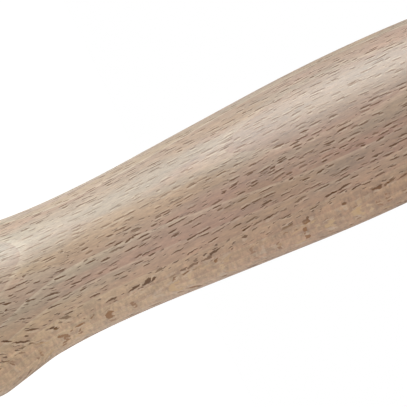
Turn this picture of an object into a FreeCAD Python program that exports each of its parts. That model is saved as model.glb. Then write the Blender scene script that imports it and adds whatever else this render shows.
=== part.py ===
import FreeCAD, Part
import math
import os
import Sketcher

# A bar muddler turned from one blank of beech.
# It stands on its flat crushing face: that face's centre is the origin and +Z runs up the turning axis.
# Going up, the outline is the face, the head, a waist, a swell that fills the palm, a neck and a domed knob.

# Driving dimensions, in millimetres. A "radius" with a "height" is the radius of the wood at that height.
# A "round" or a "curve" is the radius of one stretch of the outline itself.
DIMENSIONS = {
    "overall_length": 200.0,
    "face_radius": 13.1,  # the flat crushing face, inside its rounded edge
    "face_edge_round": 2.0,
    "head_radius": 15.5,  # the widest turning of the whole piece
    "head_height": 18.8,
    "shoulder_round": 10.0,
    "cone_height": 8.0,  # the straight flare between the shoulder and the throat
    "throat_round": 20.7,
    "waist_radius": 12.55,
    "waist_height": 42.0,
    "waist_curve_below": 110.0,
    "waist_curve_above": 229.0,
    "swell_radius": 14.95,
    "swell_height": 98.3,
    "swell_curve": 295.0,
    "neck_radius": 12.1,
    "neck_height": 160.5,
    "neck_curve_below": 229.0,
    "neck_curve_above": 75.0,
    "knob_radius": 14.2,
}
# First guesses, in degrees from upright, at the lean of the outline's straight stretches and of the place
# where the throat runs into the waist. The sketch's own constraints settle the true leans.
CONE_LEAN = 12.7
THROAT_LEAN = 5.4
RISE_LEAN = 3.4
FALL_LEAN = 3.6
FLARE_LEAN = 5.8

LOWER, UPPER = 0, 1  # index of the lower and the upper end of one stretch of the outline
START, END, CENTRE = 1, 2, 3  # Sketcher's numbers for the points of a line or an arc
ORIGIN_POINT = (-1, 1)
NORMAL = FreeCAD.Vector(0, 0, 1)

doc = FreeCAD.newDocument("muddler")


def make_sheet():
    """The spreadsheet that holds the driving dimensions, one alias a row."""
    sheet = doc.addObject("Spreadsheet::Sheet", "dims")
    for row, (alias, value) in enumerate(DIMENSIONS.items(), start=1):
        sheet.set(f"A{row}", alias)
        sheet.set(f"B{row}", str(value))
        sheet.setAlias(f"B{row}", alias)
    doc.recompute()


class Outline:
    """Half the outline of a turned piece, in a sketch whose X is the radius and whose Y is the height.

    A stretch of it is a pair: its number in the sketch, and its lower and upper end.
    """

    def __init__(self, sketch):
        self.sketch = sketch

    def fix(self, kind, *where):
        self.sketch.addConstraint(Sketcher.Constraint(kind, *where))

    def bind(self, kind, *where, alias):
        """Adds a constraint whose value follows the sheet."""
        index = self.sketch.addConstraint(Sketcher.Constraint(kind, *where, DIMENSIONS[alias]))
        self.sketch.setExpression(f"Constraints[{index}]", f"dims.{alias}")

    def line(self, low, high):
        """A straight stretch between two (radius, height) points."""
        ends = [FreeCAD.Vector(*low, 0), FreeCAD.Vector(*high, 0)]
        return self.sketch.addGeometry(Part.LineSegment(*ends), False), (START, END)

    def arc(self, low, high, centre, curve):
        """A round stretch. Sketcher's arcs run anticlockwise, so a hollow one starts at its upper end."""
        circle = Part.Circle(FreeCAD.Vector(*centre, 0), NORMAL, curve)
        low_angle, high_angle = (circle.parameter(FreeCAD.Vector(*point, 0)) for point in (low, high))
        if centre[0] > low[0]:
            hollow = Part.ArcOfCircle(circle, high_angle, low_angle)
            return self.sketch.addGeometry(hollow, False), (END, START)
        full = Part.ArcOfCircle(circle, low_angle, high_angle)
        return self.sketch.addGeometry(full, False), (START, END)

    def bound_arc(self, low, high, centre, alias):
        """A round stretch whose curve follows the sheet."""
        stretch = self.arc(low, high, centre, DIMENSIONS[alias])
        self.bind("Radius", stretch[0], alias=alias)
        return stretch

    def join(self, below, above):
        """Runs the upper end of one stretch smoothly into the lower end of the next."""
        self.fix("Tangent", below[0], below[1][UPPER], above[0], above[1][LOWER])

    def station(self, stretch, name):
        """Sets the radius and height of an arc's upper end, and makes the outline upright there."""
        number, point = stretch[0], stretch[1][UPPER]
        self.bind("DistanceX", *ORIGIN_POINT, number, point, alias=f"{name}_radius")
        self.bind("DistanceY", *ORIGIN_POINT, number, point, alias=f"{name}_height")
        self.fix("Horizontal", number, CENTRE, number, point)


def place(name):
    """A station of the outline, where it is upright, as (radius, height)."""
    return DIMENSIONS[f"{name}_radius"], DIMENSIONS[f"{name}_height"]


def beside(point, offset):
    """The centre of an arc that is upright at a point: outward of it if the arc is hollow."""
    return point[0] + offset, point[1]


def leaning(point, offset, lean, side):
    """Where an arc that is upright at a point leans by so many degrees, above it (1) or below it (-1)."""
    angle = math.radians(lean)
    return point[0] + offset * (1 - math.cos(angle)), point[1] + side * abs(offset) * math.sin(angle)


def draw_outline(sketch):
    """The whole half outline, from the crushing face up to the top of the knob and back down the axis."""
    out = Outline(sketch)
    d = DIMENSIONS
    head, waist, swell, neck = (place(name) for name in ("head", "waist", "swell", "neck"))
    top = (0, d["overall_length"])

    # The head: the flat face, its rounded edge, a slightly barrelled side and the shoulder.
    face_rim = (d["face_radius"], 0)
    edge_centre = (d["face_radius"], d["face_edge_round"])
    edge_high = beside(edge_centre, d["face_edge_round"])
    bulge = head[0] - edge_high[0]
    side_curve = ((head[1] - edge_high[1]) ** 2 + bulge**2) / (2 * bulge)
    face = out.line((0, 0), face_rim)
    edge = out.bound_arc(face_rim, edge_high, edge_centre, "face_edge_round")
    side = out.arc(edge_high, head, beside(head, -side_curve), side_curve)
    cone_low = leaning(head, -d["shoulder_round"], CONE_LEAN, 1)
    shoulder = out.bound_arc(head, cone_low, beside(head, -d["shoulder_round"]), "shoulder_round")

    # The cone, the throat and the waist.
    taper = d["cone_height"] * math.tan(math.radians(CONE_LEAN))
    cone_high = (cone_low[0] - taper, cone_low[1] + d["cone_height"])
    throat_high = leaning(waist, d["waist_curve_below"], THROAT_LEAN, -1)
    rise_low = leaning(waist, d["waist_curve_above"], RISE_LEAN, 1)
    cone = out.line(cone_low, cone_high)
    throat = out.bound_arc(cone_high, throat_high, beside(throat_high, d["throat_round"]), "throat_round")
    waist_low = out.bound_arc(throat_high, waist, beside(waist, d["waist_curve_below"]), "waist_curve_below")
    waist_high = out.bound_arc(waist, rise_low, beside(waist, d["waist_curve_above"]), "waist_curve_above")

    # The handle: it swells to fill the palm and draws in again to the neck.
    rise_high = leaning(swell, -d["swell_curve"], RISE_LEAN, -1)
    fall_low = leaning(swell, -d["swell_curve"], FALL_LEAN, 1)
    fall_high = leaning(neck, d["neck_curve_below"], FALL_LEAN, -1)
    flare_low = leaning(neck, d["neck_curve_above"], FLARE_LEAN, 1)
    rise = out.line(rise_low, rise_high)
    swell_low = out.bound_arc(rise_high, swell, beside(swell, -d["swell_curve"]), "swell_curve")
    swell_high = out.bound_arc(swell, fall_low, beside(swell, -d["swell_curve"]), "swell_curve")
    fall = out.line(fall_low, fall_high)
    neck_low = out.bound_arc(fall_high, neck, beside(neck, d["neck_curve_below"]), "neck_curve_below")
    neck_high = out.bound_arc(neck, flare_low, beside(neck, d["neck_curve_above"]), "neck_curve_above")

    # The knob, a ball whose top is the top of the muddler.
    ball_centre = (0, top[1] - d["knob_radius"])
    flare_high = leaning((d["knob_radius"], ball_centre[1]), -d["knob_radius"], FLARE_LEAN, -1)
    flare = out.line(flare_low, flare_high)
    knob = out.bound_arc(flare_high, top, ball_centre, "knob_radius")
    axis = out.line((0, 0), top)

    stretches = [face, edge, side, shoulder, cone, throat, waist_low, waist_high, rise]
    stretches += [swell_low, swell_high, fall, neck_low, neck_high, flare, knob]
    for below, above in zip(stretches, stretches[1:]):
        out.join(below, above)
    for stretch, name in ((side, "head"), (waist_low, "waist"), (swell_low, "swell"), (neck_low, "neck")):
        out.station(stretch, name)
    out.fix("Coincident", face[0], START, *ORIGIN_POINT)
    out.fix("Coincident", axis[0], START, *ORIGIN_POINT)
    out.fix("Coincident", axis[0], END, knob[0], END)
    out.fix("Horizontal", face[0])
    out.fix("Vertical", axis[0])
    out.fix("Vertical", *ORIGIN_POINT, knob[0], CENTRE)
    out.bind("DistanceX", face[0], START, face[0], END, alias="face_radius")
    out.bind("DistanceY", axis[0], START, axis[0], END, alias="overall_length")
    out.bind("DistanceY", cone[0], START, cone[0], END, alias="cone_height")


def make_muddler():
    """The turned body: the outline spun round the axis of the lathe."""
    body = doc.addObject("PartDesign::Body", "muddler_body")
    body.Label = "muddler_body"
    sketch = body.newObject("Sketcher::SketchObject", "outline")
    plane = next(feature for feature in body.Origin.OriginFeatures if feature.Role == "XZ_Plane")
    sketch.AttachmentSupport = [(plane, "")]
    sketch.MapMode = "FlatFace"
    draw_outline(sketch)
    doc.recompute()
    if not sketch.FullyConstrained:
        raise RuntimeError("the outline isn't fully constrained")

    turning = body.newObject("PartDesign::Revolution", "turning")
    turning.Profile = sketch
    turning.ReferenceAxis = (sketch, ["V_Axis"])
    turning.Angle = 360
    doc.recompute()
    return body


def check(bodies):
    """Stops if any object failed to recompute, or a sub-part isn't one sound solid."""
    for item in doc.Objects:
        if {"Invalid", "Error"} & set(item.State):
            raise RuntimeError(f"{item.Name} failed: {item.State}")
    for body in bodies:
        shape = body.Shape
        if shape.isNull() or not shape.isValid() or len(shape.Solids) != 1:
            raise RuntimeError(f"{body.Label} isn't one sound solid")


def export(bodies):
    """Writes each sub-part's STEP file and prints its size and volume."""
    os.makedirs("parts", exist_ok=True)
    for body in bodies:
        body.Shape.exportStep(os.path.join("parts", f"{body.Label}.step"))
        box = body.Shape.optimalBoundingBox(False, False)
        size = [round(length, 2) for length in (box.XLength, box.YLength, box.ZLength)]
        print(body.Label, size, "mm,", round(body.Shape.Volume), "mm3")


make_sheet()
parts = [make_muddler()]
check(parts)
export(parts)
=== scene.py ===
"""The looks of a turned beech muddler, built round its CAD frame.

Lengths in this script are in millimetres, and turn into metres with MM where Blender takes them. The
muddler stands on its crushing face at the origin, with +Z up its axis. The camera is on its -Y side.
"""

import math

import bpy
import numpy as np
from mathutils import Matrix, Vector, noise


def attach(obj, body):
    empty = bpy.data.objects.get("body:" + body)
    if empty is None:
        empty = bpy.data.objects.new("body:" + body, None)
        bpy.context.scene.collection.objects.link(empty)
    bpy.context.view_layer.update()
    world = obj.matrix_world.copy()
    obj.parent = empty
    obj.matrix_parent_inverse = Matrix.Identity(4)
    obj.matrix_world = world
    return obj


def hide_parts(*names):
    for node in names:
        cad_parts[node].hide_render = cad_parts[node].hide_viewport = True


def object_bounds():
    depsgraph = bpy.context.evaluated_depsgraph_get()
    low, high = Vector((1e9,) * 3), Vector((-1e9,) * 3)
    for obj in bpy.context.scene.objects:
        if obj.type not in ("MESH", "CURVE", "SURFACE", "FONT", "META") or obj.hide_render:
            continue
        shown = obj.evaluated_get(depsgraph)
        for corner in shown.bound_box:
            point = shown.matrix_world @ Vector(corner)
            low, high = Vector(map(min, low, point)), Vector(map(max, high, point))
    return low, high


MM = 0.001

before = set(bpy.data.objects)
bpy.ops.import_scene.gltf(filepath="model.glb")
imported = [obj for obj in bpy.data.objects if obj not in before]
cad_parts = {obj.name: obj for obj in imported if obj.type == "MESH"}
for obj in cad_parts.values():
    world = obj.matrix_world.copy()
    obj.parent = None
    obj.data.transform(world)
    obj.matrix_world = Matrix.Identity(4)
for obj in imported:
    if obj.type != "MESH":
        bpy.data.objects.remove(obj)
cad_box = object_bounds()


# Node arithmetic ------------------------------------------------------------------------------------------


class Shade:
    """A value that a material works out at each point. Arithmetic on it adds nodes to its tree."""

    def __init__(self, tree, socket):
        self.tree = tree
        self.socket = socket

    def add(self, kind, **settings):
        return add_node(self.tree, kind, **settings)

    def math(self, operation, *others):
        node = self.add("ShaderNodeMath", operation=operation)
        for socket, value in zip(node.inputs, (self, *others)):
            feed(socket, value)
        return Shade(self.tree, node.outputs[0])

    def __add__(self, other):
        return self.math("ADD", other)

    def __sub__(self, other):
        return self.math("SUBTRACT", other)

    def __rsub__(self, other):
        return (self * -1).math("ADD", other)

    def __mul__(self, other):
        return self.math("MULTIPLY", other)

    def __truediv__(self, other):
        return self.math("DIVIDE", other)

    def __abs__(self):
        return self.math("ABSOLUTE")

    def power(self, exponent):
        return self.math("POWER", exponent)

    def root(self):
        return self.math("SQRT")

    def floor(self):
        return self.math("FLOOR")

    def below(self, limit):
        """1 where this value is below the limit, and 0 elsewhere."""
        return self.math("LESS_THAN", limit)

    def or_more(self, other):
        """The larger of the two values."""
        return self.math("MAXIMUM", other)

    def ease(self, low, high, to_low=0.0, to_high=1.0):
        """Runs smoothly from to_low to to_high while this value runs from low to high."""
        node = self.add("ShaderNodeMapRange", interpolation_type="SMOOTHSTEP")
        for name, value in (("From Min", low), ("From Max", high), ("To Min", to_low), ("To Max", to_high)):
            feed(node.inputs[name], value)
        feed(node.inputs["Value"], self)
        return Shade(self.tree, node.outputs["Result"])


def add_node(tree, kind, **settings):
    node = tree.nodes.new(kind)
    for name, value in settings.items():
        setattr(node, name, value)
    return node


def feed(socket, value):
    """Puts a number, a colour or another node's value into a node's input."""
    if isinstance(value, Shade):
        socket.id_data.links.new(value.socket, socket)
    elif isinstance(value, tuple):
        socket.default_value = (*value, 1.0) if len(socket.default_value) == 4 else value
    else:
        socket.default_value = value


def point(x, y, z=0.0):
    """One position, or one colour, made of three values."""
    node = x.add("ShaderNodeCombineXYZ")
    for socket, value in zip(node.inputs, (x, y, z)):
        feed(socket, value)
    return Shade(x.tree, node.outputs[0])


def parts_of(vector):
    """The three values that a position or a colour is made of."""
    node = vector.add("ShaderNodeSeparateXYZ")
    feed(node.inputs[0], vector)
    return [Shade(vector.tree, socket) for socket in node.outputs]


def noise_node(place, lumps, detail, rough):
    """Noise at a place given as three values, in lumps about so many millimetres across each way."""
    where = point(*(value / size for value, size in zip(place, lumps)))
    node = where.add("ShaderNodeTexNoise", noise_dimensions="3D")
    feed(node.inputs["Vector"], where)
    feed(node.inputs["Scale"], 1.0)
    feed(node.inputs["Detail"], detail)
    feed(node.inputs["Roughness"], rough)
    return node


def cloud(place, lumps, detail=2.0, rough=0.5):
    """A soft noise between 0 and 1, about 0.5 on average."""
    node = noise_node(place, lumps, detail, rough)
    return Shade(place[0].tree, node.outputs["Fac"])


def three_clouds(place, lumps, detail=2.0, rough=0.5):
    """Three such noises, each unlike the others."""
    node = noise_node(place, lumps, detail, rough)
    return parts_of(Shade(place[0].tree, node.outputs["Color"]))


def mix(share, low, high, blend="MIX"):
    """The colour low where share is 0 and high, blended with it, where share is 1."""
    tree = next(value.tree for value in (share, low, high) if isinstance(value, Shade))
    node = add_node(tree, "ShaderNodeMix", data_type="RGBA", blend_type=blend)
    feed(node.inputs[0], share)
    feed(node.inputs[6], low)
    feed(node.inputs[7], high)
    return Shade(tree, node.outputs[2])


def srgb(red, green, blue):
    """A colour given as 0 to 255, as linear light."""
    shares = (channel / 255 for channel in (red, green, blue))
    return tuple(c / 12.92 if c <= 0.04045 else ((c + 0.055) / 1.055) ** 2.4 for c in shares)


# The wood -------------------------------------------------------------------------------------------------

PITH_DISTANCE = 400.0  # from the middle of the tree to the muddler's axis
TREE_TURN = math.radians(31)  # the pith lies this far round from -Y towards -X
GRAIN_LEAN = 0.015  # how far the grain leans towards -X for each millimetre up
GRAIN_SWAY = 1.5  # how far the whole grain wanders from straight, from one side to the other

RING_WIDTH = 2.7
RING_START = 10.7  # one year's growth starts this far from the muddler's axis, on the pith's side
PAINTED_SHEEN_START = 13.4  # the wood is painted greyer further in than this, on the pith side where the key light's highlight lies: painted sheen
PATCH_SHIFT = 44.0  # picks the stretch of the streaks' noise that the muddler is cut from

# The wood as it is at the head. A share is how much of that colour is mixed in where it is strongest.
PINK_WOOD = srgb(165, 136, 114)
GREY_WOOD = srgb(156, 138, 116)
TAN_WOOD = srgb(162, 136, 107)
QUARTER_WOOD = srgb(183, 152, 116)  # where the surface shows the rays from their sides
QUARTER_SHARE = 0.77
# Painted sheen: a grey mixed in on the pith side, where the key light's highlight falls.
PAINTED_SHEEN_GREY = srgb(160, 152, 136)
PAINTED_SHEEN_SHARE = 0.25
LATE_WOOD = srgb(152, 106, 88)  # the end of each year's growth
LATE_SHARE = 0.32
PALE_WOOD = srgb(196, 175, 152)  # the start of each year's growth, and the wood beside a ray
CUT_END = srgb(120, 92, 68)
CUT_END_SHARE = 0.3
GREY_STREAKS = (0.38, 0.62)  # pink wood turns grey between these values of its noise
TAN_STREAKS = (0.42, 0.66)  # and any wood tan between these

# Tints that the wood is multiplied by.
HANDLE_TINT = (0.8, 0.73, 0.725)  # the handle is darker and pinker than the head
SHEEN_FLANK_TINT = (0.96, 1.04, 1.08)  # painted sheen: the flank on the key light's side is made less pink, for the cool light that it reflects

RAY_END = srgb(84, 53, 30)  # a ray that is cut across
RAY_SIDE = srgb(134, 94, 60)  # a ray that shows from its side
PALE_RAY_SIDE = srgb(188, 158, 124)  # and one that catches the light there
RAY_SHARE = 0.95
BESIDE_BROAD_SHARE = 0.35
BESIDE_SMALL_SHARE = 0.3
RAY_DEPTH = 9.0  # how far a layer of rays runs in towards the pith, before the next takes its place
LAYER_WOBBLE = 1.5  # how far the end of a layer wanders, in layers
LAYER_STEP = (17.31, 5.77)  # how far the pattern moves from one layer to the next, in cells
SCATTER = 0.95  # how far the rays stray from even rows, where 1 is anywhere in their cells
BLUNTNESS = 3.0  # of a ray's ends
SHORTEST_RAY = 0.18  # half the length of the shortest ray, as a share of its kind's length
RAY_LENGTH_SPREAD = 0.36  # what the longest has over that
SLIMMEST_RAY = 0.35  # half the width of the slimmest ray, as a share of its kind's width
RAY_WIDTH_SPREAD = 0.3  # what the widest has over that
FAINT = 0.45  # how strongly the rays show in the middle of the flat-sawn sides

SANDED = 0.48  # the wood's roughness
FIBRE_RELIEF = 0.01  # from the lowest fibre to the highest
RAY_SINK = 0.02  # how far a broad ray lies under the wood round it


def tree_coordinates(tree):
    """Where a point lies in the tree that the blank was sawn from: a place, side_on and end_on.

    The place is across, depth and along: across runs round the tree, depth runs in towards its pith (0 at
    the muddler's axis) and along runs up it.
    side_on is 1 where the surface shows the rays from their sides (it is quarter-sawn there), and 0 where
    it cuts them end on (it is flat-sawn).
    end_on is 1 where the surface is a cut end of the grain.
    """
    coordinates = add_node(tree, "ShaderNodeTexCoord")
    place = Shade(tree, coordinates.outputs["Object"])
    x, y, z = (part / MM for part in parts_of(place))

    sway = three_clouds((x, y, z), (45, 45, 70), detail=1.0)
    x = x + z * GRAIN_LEAN + (sway[0] - 0.5) * GRAIN_SWAY
    y = y + (sway[1] - 0.5) * GRAIN_SWAY

    pith_x, pith_y = -math.sin(TREE_TURN), -math.cos(TREE_TURN)
    to_pith = PITH_DISTANCE - (x * pith_x + y * pith_y)
    aside = x * -pith_y + y * pith_x
    depth = PITH_DISTANCE - (to_pith * to_pith + aside * aside).root()
    across = aside.math("ARCTAN2", to_pith) * PITH_DISTANCE

    normal = parts_of(Shade(tree, coordinates.outputs["Normal"]))
    end_on = abs(normal[2])
    level = (1 - end_on * end_on).root()
    side_on = abs(normal[0] * -pith_y + normal[1] * pith_x) / level
    return (across, depth, z), side_on, end_on


def weave(place):
    """The place with the grain's wander in it, which is slow up the tree and quick towards its pith.

    The factors are how far it wanders, in millimetres from side to side.
    """
    across, depth, along = place
    slow = cloud(place, (9, 2.6, 14), detail=1.0)
    quick = three_clouds(place, (1.8, 1.4, 3.0), detail=1.0)
    fine = cloud(place, (1.2, 0.6, 0.6))
    sideways = (slow - 0.5) * 0.6 + (quick[0] - 0.5) * 0.36 + (fine - 0.5) * 0.2
    return across + sideways, depth, along + (quick[1] - 0.5) * 1.2


def ground_colour(place, woven, side_on):
    """The wood's colour without its fibres and rays: streaks along the grain, and growth rings.

    Each ring darkens towards its end, and the next starts with a thin pale line.
    """
    across, depth, along = place
    wobble = cloud(place, (16, 10, 60))
    inward = depth + (wobble - 0.5) + along.ease(22, 42, 1.2, 0.0)
    year = (RING_START - inward) / RING_WIDTH
    season = year - year.floor()

    patches = three_clouds((woven + PATCH_SHIFT, depth, along), (4, 5, 24), detail=3.0)
    colour = mix(patches[0].ease(*GREY_STREAKS), PINK_WOOD, GREY_WOOD)
    colour = mix(patches[1].ease(*TAN_STREAKS), colour, TAN_WOOD)
    colour = mix(side_on.ease(0.7, 0.98) * QUARTER_SHARE, colour, QUARTER_WOOD)
    colour = mix(season.power(1.5) * LATE_SHARE, colour, LATE_WOOD)
    # Painted sheen: greyer further in, on the side where the key light's highlight falls.
    colour = mix((inward - PAINTED_SHEEN_START).ease(-0.3, 0.3) * PAINTED_SHEEN_SHARE, colour, PAINTED_SHEEN_GREY)

    # The pale lines are plainest in a band about 11 mm from the axis.
    pale_line = season.ease(0.06, 0.15, 1.0, 0.0)
    plain = inward.ease(6, 10, 0.1, 0.4) * inward.ease(11.5, 13, 1.0, 0.6)
    return mix(pale_line * plain, colour, PALE_WOOD)


def rays(place, cell, length, width, share, shift):
    """The tree's rays of one kind: thin upright lenses that run in towards the pith.

    cell is the size, across and along, of the cells that hold one ray each, and share of them have one.
    shift makes the pattern of one kind unlike another's.
    Gives a value over 0 inside a ray, one over 0 in the pale wood beside it, and a random number for each
    ray.
    """
    across, depth, along = place
    layer = (depth / RAY_DEPTH + cloud(place, (9, 9, 14)) * LAYER_WOBBLE).floor()
    u = across / cell[0] + layer * LAYER_STEP[0] + shift
    v = along / cell[1] + layer * LAYER_STEP[1] + shift
    node = across.add("ShaderNodeTexVoronoi", voronoi_dimensions="2D")
    feed(node.inputs["Vector"], point(u, v))
    feed(node.inputs["Scale"], 1.0)
    feed(node.inputs["Randomness"], SCATTER)
    middle = parts_of(Shade(across.tree, node.outputs["Position"]))
    chance = parts_of(Shade(across.tree, node.outputs["Color"]))

    half_length = chance[0] * length * RAY_LENGTH_SPREAD + length * SHORTEST_RAY
    half_width = width * (chance[1] * RAY_WIDTH_SPREAD + SLIMMEST_RAY)
    off_along = (abs(v - middle[1]) * cell[1] / half_length).power(BLUNTNESS)
    off_across = (u - middle[0]) * cell[0]
    beside = width * chance[1].ease(0.4, 0.6, -0.9, 0.9)
    lens = 1 - off_along - abs(off_across) / half_width
    pale = 1 - off_along - abs(off_across - beside) / half_width
    strength = chance[2].ease(0.0, 0.5, 0.62, 0.93) * chance[2].below(share)
    return lens.ease(0.0, 0.5) * strength, pale.ease(0.0, 0.5) * strength, chance[1]


def beech():
    """Sanded beech: growth rings, ray flecks, fibres and a dull sheen, all cut from one solid tree."""
    material = bpy.data.materials.new("beech")
    material.use_nodes = True
    tree = material.node_tree
    tree.nodes.clear()
    place, side_on, end_on = tree_coordinates(tree)
    across, depth, along = place
    ray_place = weave(place)
    woven = ray_place[0]
    colour = ground_colour(place, woven, side_on)

    # Fibres: sheets that follow the rays, threads that are the vessels, and the silk of quarter-sawn sides.
    # Each lightens or darkens the wood by up to half its factor.
    fibre_place = (woven, depth, along)
    sheets = cloud(fibre_place, (0.24, 2.5, 1.7), rough=0.6)
    threads = cloud(fibre_place, (0.3, 0.3, 5), rough=0.6)
    coarse = cloud(fibre_place, (0.9, 3.0, 9))
    pores = cloud(place, (0.25, 0.25, 0.5), detail=1.0)
    silk = cloud(fibre_place, (0.5, 1.6, 0.5), rough=0.6)
    fibres = (sheets - 0.5) * 0.75 + (threads - 0.5) * 0.35
    fibres = fibres + (coarse - 0.5) * 0.5 + (pores - 0.5) * 0.3 + 1.0
    fibres = fibres + (silk - 0.5) * side_on.ease(0.85, 0.98)
    colour = mix(1.0, colour, point(fibres, fibres, fibres), blend="MULTIPLY")

    # Tints: the handle's comes in between the throat and the swell, and the flank's keeps to the key light's
    # side, where it is painted sheen.
    colour = mix(along.ease(25, 85), colour, HANDLE_TINT, blend="MULTIPLY")
    # Painted sheen: the key light's flank is tinted cooler, as that light would make its edge look.
    sheen_flank = across.ease(-9, -4, 1.0, 0.0) * depth.ease(4, 9)
    colour = mix(sheen_flank, colour, SHEEN_FLANK_TINT, blend="MULTIPLY")

    # Rays: dark where they are cut across, and brown or pale where they show from their sides. They are
    # faint in the middle of the flat-sawn sides, and slimmer and more crowded on the quarter-sawn ones.
    bold = across.ease(1.5, 7, FAINT, 1.0).or_more(side_on.ease(0.12, 0.42, FAINT, 0.95))
    slim = side_on.ease(0.3, 0.95, 1.0, 0.62)
    crowded = side_on.ease(0.85, 0.95)
    broad, beside_broad, broad_tone = rays(
        ray_place, cell=(0.8, 2.7), length=3.0, width=slim * 0.3, share=crowded * 0.25 + 0.7, shift=0.0
    )
    small, beside_small, small_tone = rays(
        ray_place, cell=(0.46, 1.6), length=1.5, width=slim * 0.18, share=crowded * 0.45 + 0.4, shift=40.0
    )
    shows_side = side_on.ease(0.94, 0.99)
    broad_side = mix(broad_tone.ease(0.4, 0.5), PALE_RAY_SIDE, RAY_SIDE)
    small_side = mix(small_tone.ease(0.5, 0.6), PALE_RAY_SIDE, RAY_SIDE)
    colour = mix(beside_broad * BESIDE_BROAD_SHARE, colour, PALE_WOOD)
    colour = mix(beside_small * BESIDE_SMALL_SHARE, colour, PALE_WOOD)
    colour = mix(small * bold * RAY_SHARE, colour, mix(shows_side, RAY_END, small_side))
    colour = mix(broad * bold * RAY_SHARE, colour, mix(shows_side, RAY_END, broad_side))
    dull = (small * 0.5 + broad) * bold

    # Cut ends are darker.
    colour = mix(end_on.ease(0.5, 0.98) * CUT_END_SHARE, colour, CUT_END)

    bump = add_node(tree, "ShaderNodeBump")
    feed(bump.inputs["Height"], (sheets - 0.5) * FIBRE_RELIEF - broad * RAY_SINK)
    feed(bump.inputs["Distance"], MM)
    feed(bump.inputs["Strength"], 1.0)

    surface = add_node(tree, "ShaderNodeBsdfPrincipled")
    feed(surface.inputs["Base Color"], colour)
    feed(surface.inputs["Roughness"], (sheets - 0.5) * 0.12 + dull * 0.1 + SANDED)
    feed(surface.inputs["Specular IOR Level"], 1 - dull * 0.7)
    feed(surface.inputs["Normal"], Shade(tree, bump.outputs[0]))
    out = add_node(tree, "ShaderNodeOutputMaterial")
    tree.links.new(surface.outputs[0], out.inputs["Surface"])
    return material


# The body -------------------------------------------------------------------------------------------------

SAME_RING = 0.005  # vertices nearer in height than this lie on one turning ring of the CAD mesh
RING_STEP = 0.52  # from one ring of the finer mesh to the next
SEGMENTS = 192
FACE_STEPS = 3  # steps of the outline from the middle of the flat face to its rim
FACE_TOP = 0.01  # what is lower than this is the flat face, which is true
SANDED_OFF = 0.032  # how far the rest of the surface lies inside the CAD outline, on average
UNEVENNESS = 0.02  # how far hand sanding leaves it from that, either way
LUMP_WIDTH = 9.0
LUMP_HEIGHT = 22.0
NO_TURN = 1e-9  # added to every turn of the outline, so that straight runs don't divide 0 by 0


def outline_of(node):
    """The half outline of a turned CAD node, from its face's rim to its top: rows of (radius, height)."""
    corners = np.array([vertex.co for vertex in node.data.vertices]) / MM
    radius, height = np.hypot(corners[:, 0], corners[:, 1]), corners[:, 2]
    order = np.argsort(height)
    rings = np.split(order, np.flatnonzero(np.diff(height[order]) > SAME_RING) + 1)
    return np.array([(radius[ring].max(), height[ring].mean()) for ring in rings])


def smooth_curve(points, step):
    """Points about a step apart on Akima's curve, which keeps straight runs straight.

    The curve starts along its first chord and ends level, on the axis.
    """
    chords = np.diff(points, axis=0)
    lengths = np.linalg.norm(chords, axis=1)
    slopes = chords / lengths[:, None]
    mirror = np.array([1, -1])
    slopes = np.vstack([slopes[:1], slopes[:1], slopes, slopes[-1:] * mirror, slopes[-2:-1] * mirror])
    turns = np.linalg.norm(np.diff(slopes, axis=0), axis=1) + NO_TURN
    after, before = turns[2:, None], turns[:-2, None]
    tangents = (after * slopes[1:-2] + before * slopes[2:-1]) / (after + before)

    along = np.concatenate([[0], np.cumsum(lengths)])
    places = np.linspace(0, along[-1], round(along[-1] / step) + 1)
    index = np.clip(np.searchsorted(along, places, side="right") - 1, 0, len(lengths) - 1)
    size = lengths[index]
    t = ((places - along[index]) / size)[:, None]
    size = size[:, None]
    return (
        (1 + 2 * t) * (1 - t) ** 2 * points[index]
        + t * (1 - t) ** 2 * size * tangents[index]
        + t**2 * (3 - 2 * t) * points[index + 1]
        + t**2 * (t - 1) * size * tangents[index + 1]
    )


def turned_body(node, material):
    """The muddler's surface: the CAD outline, spun finely, with the slight unevenness of hand sanding."""
    cad_outline = outline_of(node)
    rim_radius = cad_outline[0][0]
    face = [(rim_radius * step / FACE_STEPS, 0) for step in range(FACE_STEPS)]
    outline = smooth_curve(np.vstack([face, cad_outline]), RING_STEP)
    corners = [(0, 0, outline[0][1])]
    for radius, height in outline[1:-1]:
        for segment in range(SEGMENTS):
            angle = math.tau * segment / SEGMENTS
            x, y = radius * math.cos(angle), radius * math.sin(angle)
            lumps = noise.noise(Vector((x / LUMP_WIDTH, y / LUMP_WIDTH, height / LUMP_HEIGHT)))
            inset = SANDED_OFF + UNEVENNESS * lumps if height > FACE_TOP else 0
            scale = 1 - inset / radius if radius > inset else 1
            corners.append((x * scale, y * scale, height))
    corners.append((0, 0, outline[-1][1]))
    last = len(corners) - 1
    rings = len(outline) - 2

    def corner(ring, segment):
        return 1 + ring * SEGMENTS + segment % SEGMENTS

    faces = [(0, corner(0, s + 1), corner(0, s)) for s in range(SEGMENTS)]
    faces += [
        (corner(r, s), corner(r, s + 1), corner(r + 1, s + 1), corner(r + 1, s))
        for r in range(rings - 1)
        for s in range(SEGMENTS)
    ]
    faces += [(corner(rings - 1, s), corner(rings - 1, s + 1), last) for s in range(SEGMENTS)]
    mesh = bpy.data.meshes.new("turned_beech")
    mesh.from_pydata([Vector(c) * MM for c in corners], [], faces)
    mesh.shade_smooth()
    mesh.materials.append(material)
    body = bpy.data.objects.new("turned_beech", mesh)
    bpy.context.scene.collection.objects.link(body)
    return body


body = turned_body(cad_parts["muddler_body"], beech())
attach(body, "root")
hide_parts("muddler_body")


# The studio -----------------------------------------------------------------------------------------------

WHITE = (1.0, 1.0, 1.0)
COOL = (0.9, 1.0, 1.0)
WARM = (1.0, 0.94, 0.82)

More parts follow.
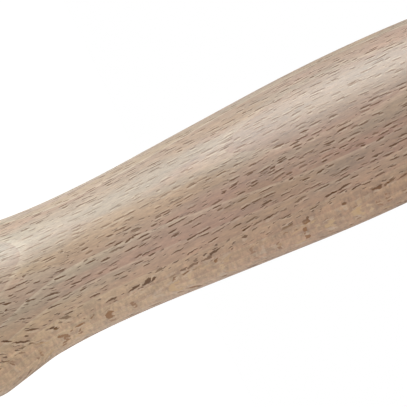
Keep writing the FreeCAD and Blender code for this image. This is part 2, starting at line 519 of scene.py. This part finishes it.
FLOOR_REACH = 4000.0  # from the middle of the floor to each side
PAPER = (0.9, 0.9, 0.9)
PAPER_ROUGHNESS = 0.9
FLOOR_GLOW = 0.55  # the light that the paper gives off itself

ROOM_LIGHT = 0.59  # how brightly the surround lights the muddler, where 1 is how brightly it shows
BACK_LIGHT = 0.2  # the same for the part of it that lies towards +Y

SOFTBOX_DISTANCE = 800.0
SOFTBOX_ELEVATION = math.radians(2)

CAMERA_TURN = math.radians(25.14)  # how far the axis rises from level in the picture
CAMERA_DISTANCE = 500.0
FIELD_WIDTH = 72.3  # what the picture's width takes in, at the muddler's axis
AIM_HEIGHT = 65.8  # the height of the picture's middle
AIM_SIDE = -0.28  # and how far that lies from the axis, along X
SENSOR_WIDTH = 36.0


def make_floor():
    """White paper, lit from under as a product table is, so that it stays white all round."""
    material = bpy.data.materials.new("floor_paper")
    material.use_nodes = True
    surface = material.node_tree.nodes["Principled BSDF"]
    feed(surface.inputs["Base Color"], PAPER)
    feed(surface.inputs["Roughness"], PAPER_ROUGHNESS)
    feed(surface.inputs["Emission Color"], WHITE)
    feed(surface.inputs["Emission Strength"], FLOOR_GLOW)
    mesh = bpy.data.meshes.new("floor")
    reach = FLOOR_REACH * MM
    corners = [(-reach, -reach, 0), (reach, -reach, 0), (reach, reach, 0), (-reach, reach, 0)]
    mesh.from_pydata(corners, [], [(0, 1, 2, 3)])
    mesh.materials.append(material)
    floor = bpy.data.objects.new("floor", mesh)
    bpy.context.scene.collection.objects.link(floor)


def make_world():
    """A white surround that lights the muddler less brightly than it shows, and least from the +Y side."""
    world = bpy.data.worlds.new("studio")
    world.use_nodes = True
    background = world.node_tree.nodes["Background"]
    path = add_node(world.node_tree, "ShaderNodeLightPath")
    seen = Shade(world.node_tree, path.outputs["Is Camera Ray"])
    coordinates = add_node(world.node_tree, "ShaderNodeTexCoord")
    direction = parts_of(Shade(world.node_tree, coordinates.outputs["Generated"]))
    light = direction[1].ease(0.5, 0.95, ROOM_LIGHT, BACK_LIGHT)
    feed(background.inputs["Color"], WHITE)
    feed(background.inputs["Strength"], seen.or_more(light))
    bpy.context.scene.world = world


def softbox(name, azimuth, size, power, colour):
    """A soft light aimed at the middle of the muddler. Azimuth 0 is on its -Y side and 90 on its -X side."""
    light = bpy.data.lights.new(name, "AREA")
    light.color = colour
    light.shape = "RECTANGLE"
    light.size, light.size_y = (side * MM for side in size)
    light.energy = power
    a, e = math.radians(azimuth), SOFTBOX_ELEVATION
    towards = Vector((-math.sin(a) * math.cos(e), -math.cos(a) * math.cos(e), math.sin(e)))
    low, high = cad_box
    lamp = bpy.data.objects.new(name, light)
    lamp.location = (low + high) / 2 + towards * (SOFTBOX_DISTANCE * MM)
    lamp.rotation_euler = towards.to_track_quat("Z", "Y").to_euler()
    lamp.visible_camera = False
    bpy.context.scene.collection.objects.link(lamp)


def make_camera():
    """A long lens level with the muddler, rolled so that its axis climbs to the right."""
    data = bpy.data.cameras.new("camera")
    data.sensor_width = SENSOR_WIDTH
    data.lens = SENSOR_WIDTH * CAMERA_DISTANCE / FIELD_WIDTH
    camera = bpy.data.objects.new("camera", data)
    right = Vector((math.sin(CAMERA_TURN), 0, math.cos(CAMERA_TURN)))
    up = Vector((-math.cos(CAMERA_TURN), 0, math.sin(CAMERA_TURN)))
    back = Vector((0, -1, 0))
    turn = Matrix((right, up, back)).transposed()
    place = Vector((AIM_SIDE, -CAMERA_DISTANCE, AIM_HEIGHT)) * MM
    camera.matrix_world = Matrix.Translation(place) @ turn.to_4x4()
    bpy.context.scene.collection.objects.link(camera)
    bpy.context.scene.camera = camera


make_floor()
make_world()
softbox("key_softbox", azimuth=70, size=(600, 500), power=6.8, colour=COOL)
softbox("rim_softbox", azimuth=-60, size=(500, 500), power=0.7, colour=WARM)
softbox("back_softbox", azimuth=135, size=(500, 500), power=0.4, colour=COOL)
make_camera()
bpy.context.scene.view_settings.view_transform = "Standard"
